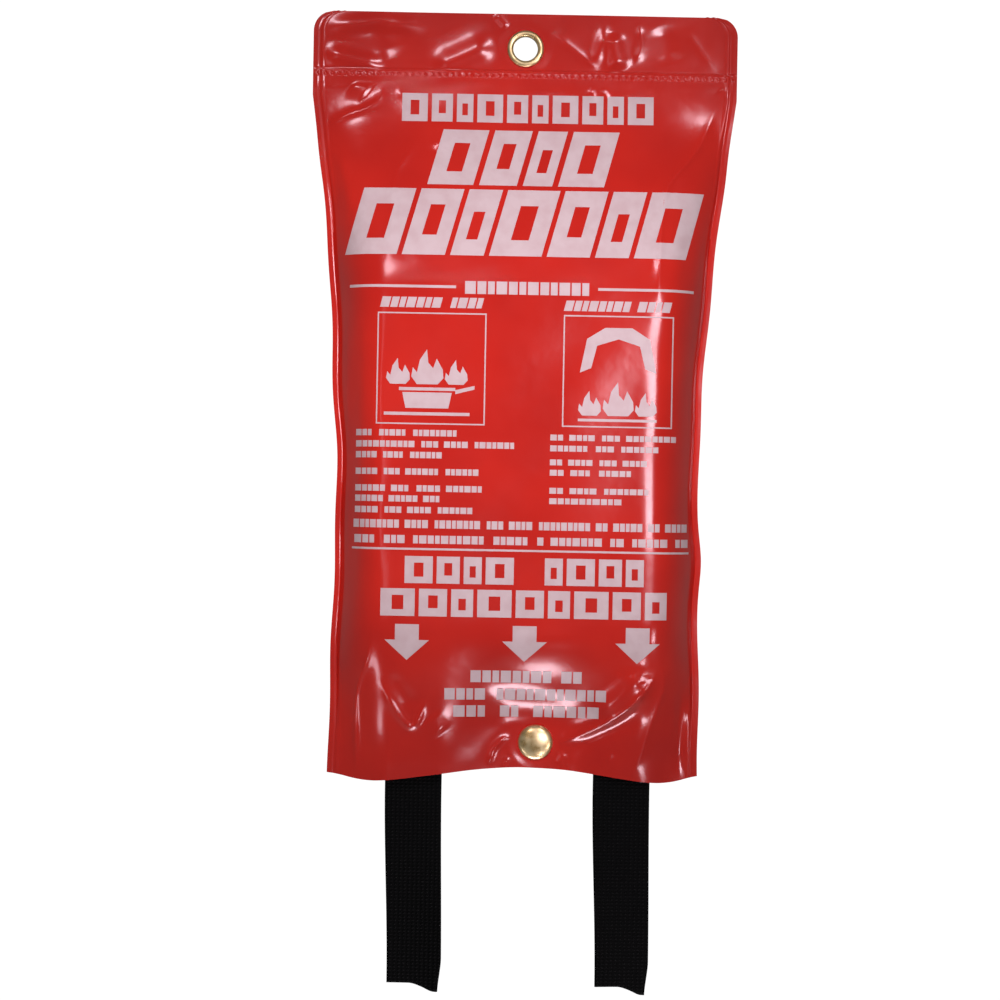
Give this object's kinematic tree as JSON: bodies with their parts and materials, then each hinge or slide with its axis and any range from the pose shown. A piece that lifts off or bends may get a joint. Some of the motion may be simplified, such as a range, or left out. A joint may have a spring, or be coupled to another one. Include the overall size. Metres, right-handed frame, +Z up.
{
  "type": "fire blanket",
  "caption": "Wall-hung fire blanket: folded glass cloth in a red PVC pouch with a hanging eyelet, a snap at the mouth and pull tabs.",
  "frame": {"origin": "centre of the hanging eyelet, in the plane where the two sheets are welded", "axes": "+Z up, -Y the printed front, +Y towards the wall, +X to the right seen from the front"},
  "size_m": [0.1908, 0.0344, 0.4366],
  "materials": {
    "red_pvc": "glossy calendered PVC sheet",
    "brass": "polished",
    "spring_wire": "drawn wire",
    "glass_cloth": "woven glass fibre",
    "black_webbing": "woven webbing"
  },
  "bodies": {
    "pouch": {"front_header": "red_pvc", "back_panel": "red_pvc", "eyelet_barrel": "brass", "eyelet_washer": "brass", "snap_stud": "brass", "snap_post": "brass"},
    "front": {"front_panel": "red_pvc", "snap_cap": "brass", "snap_socket": "brass", "snap_spring": "spring_wire"},
    "blanket": {"blanket": "glass_cloth", "left_tab_anchor": "black_webbing", "right_tab_anchor": "black_webbing"},
    "left_tab": {"left_tab_tail": "black_webbing"},
    "right_tab": {"right_tab_tail": "black_webbing"}
  },
  "joints": [
    {"name": "blanket_pull", "type": "slide", "parent": "pouch", "child": "blanket", "axis": [0, 0, -1], "range_m": [0, 0.26], "deforming": ["blanket"]},
    {"name": "mouth_open", "type": "hinge", "parent": "pouch", "child": "front", "pos_m": [0, -0.0004, -0.016], "axis": [-1, 0, 0], "range_deg": [0, 6.5]},
    {"name": "left_tab_swing", "type": "hinge", "parent": "blanket", "child": "left_tab", "pos_m": [-0.0445, 0, -0.3325], "axis": [-1, 0, 0], "range_deg": [-5, 80]},
    {"name": "right_tab_swing", "type": "hinge", "parent": "blanket", "child": "right_tab", "pos_m": [0.049, 0, -0.3325], "axis": [-1, 0, 0], "range_deg": [-5, 80]}
  ],
  "couplings": [
    {"joint": "mouth_open", "follows": "blanket_pull", "rad_per_m": 0.4363}
  ]
}
